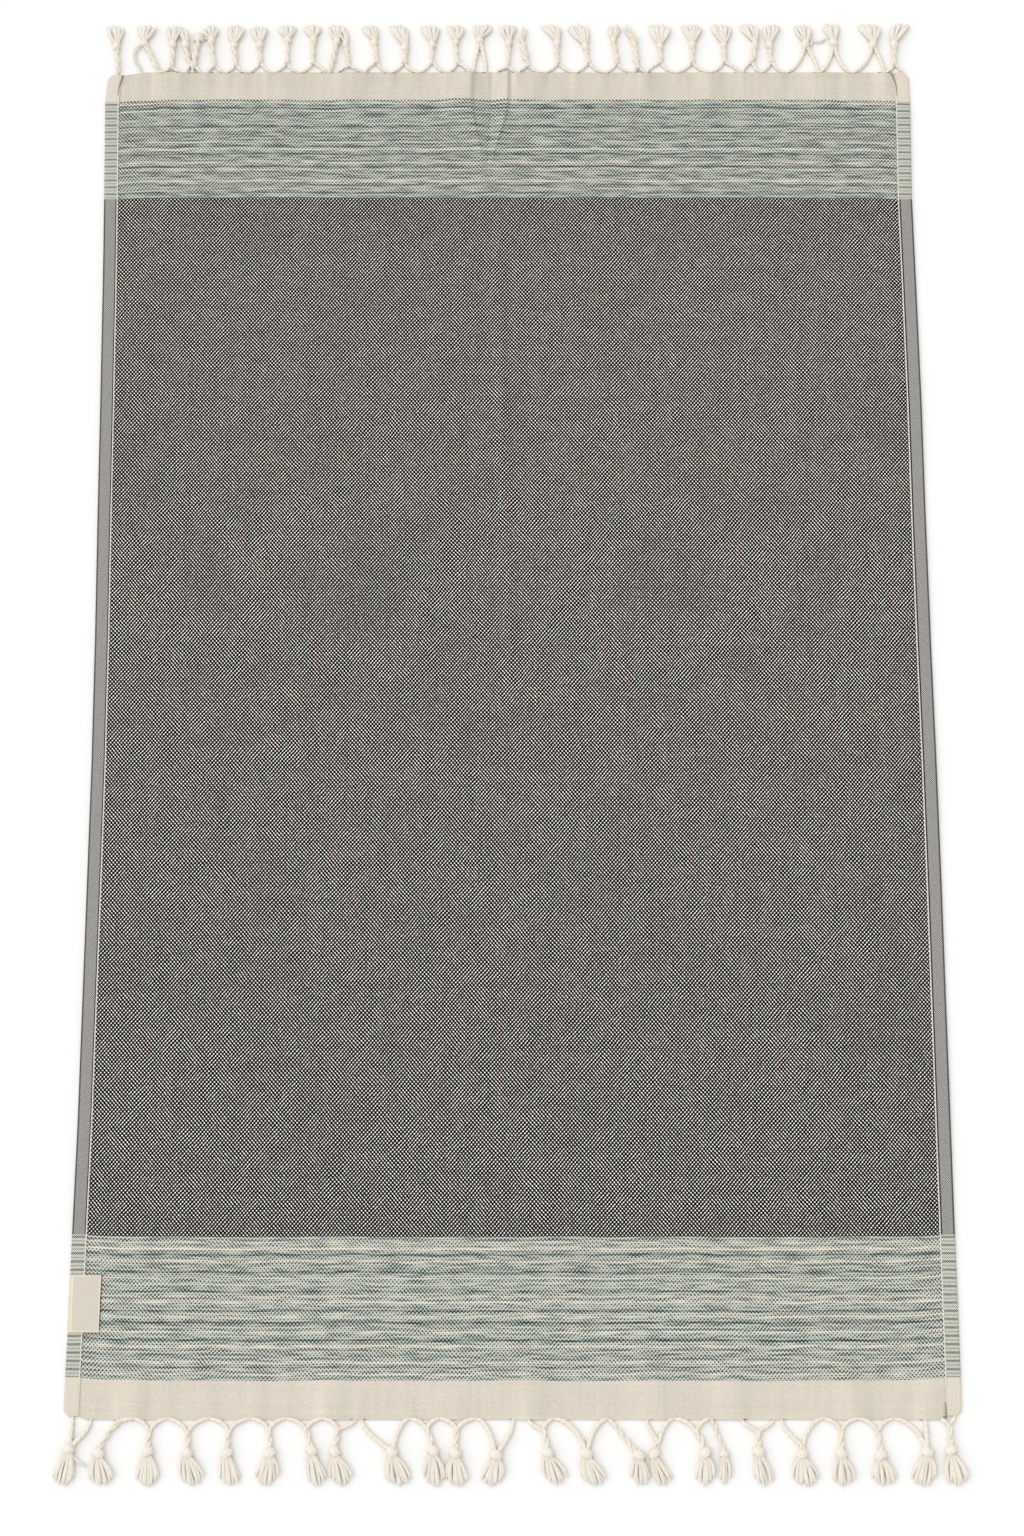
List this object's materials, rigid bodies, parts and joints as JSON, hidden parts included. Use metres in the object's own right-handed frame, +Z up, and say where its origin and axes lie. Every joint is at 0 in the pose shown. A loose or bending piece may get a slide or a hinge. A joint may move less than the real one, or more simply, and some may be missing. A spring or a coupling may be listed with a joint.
{
  "type": "hammam towel",
  "caption": "Flat-woven towel laid out flat, with hemmed sides, striped bands at both ends, a folded tag and rows of twisted, knotted tassels.",
  "frame": {"origin": "on the floor, under the middle of the whole towel with its tassels", "axes": "+Z up, +X across the cloth to the right as seen from above, +Y along the cloth, towards the end away from the tag"},
  "size_m": [1.0162, 1.7934, 0.0105],
  "materials": {
    "weave": "matt flat-woven cotton, charcoal and cream, with teal and cream bands",
    "tassel": "matt twisted cotton yarn",
    "tag": "matt cotton tape"
  },
  "bodies": {
    "root": {"cloth": "weave", "fringe_bottom": "tassel", "fringe_top": "tassel", "label": "tag"}
  },
  "joints": []
}
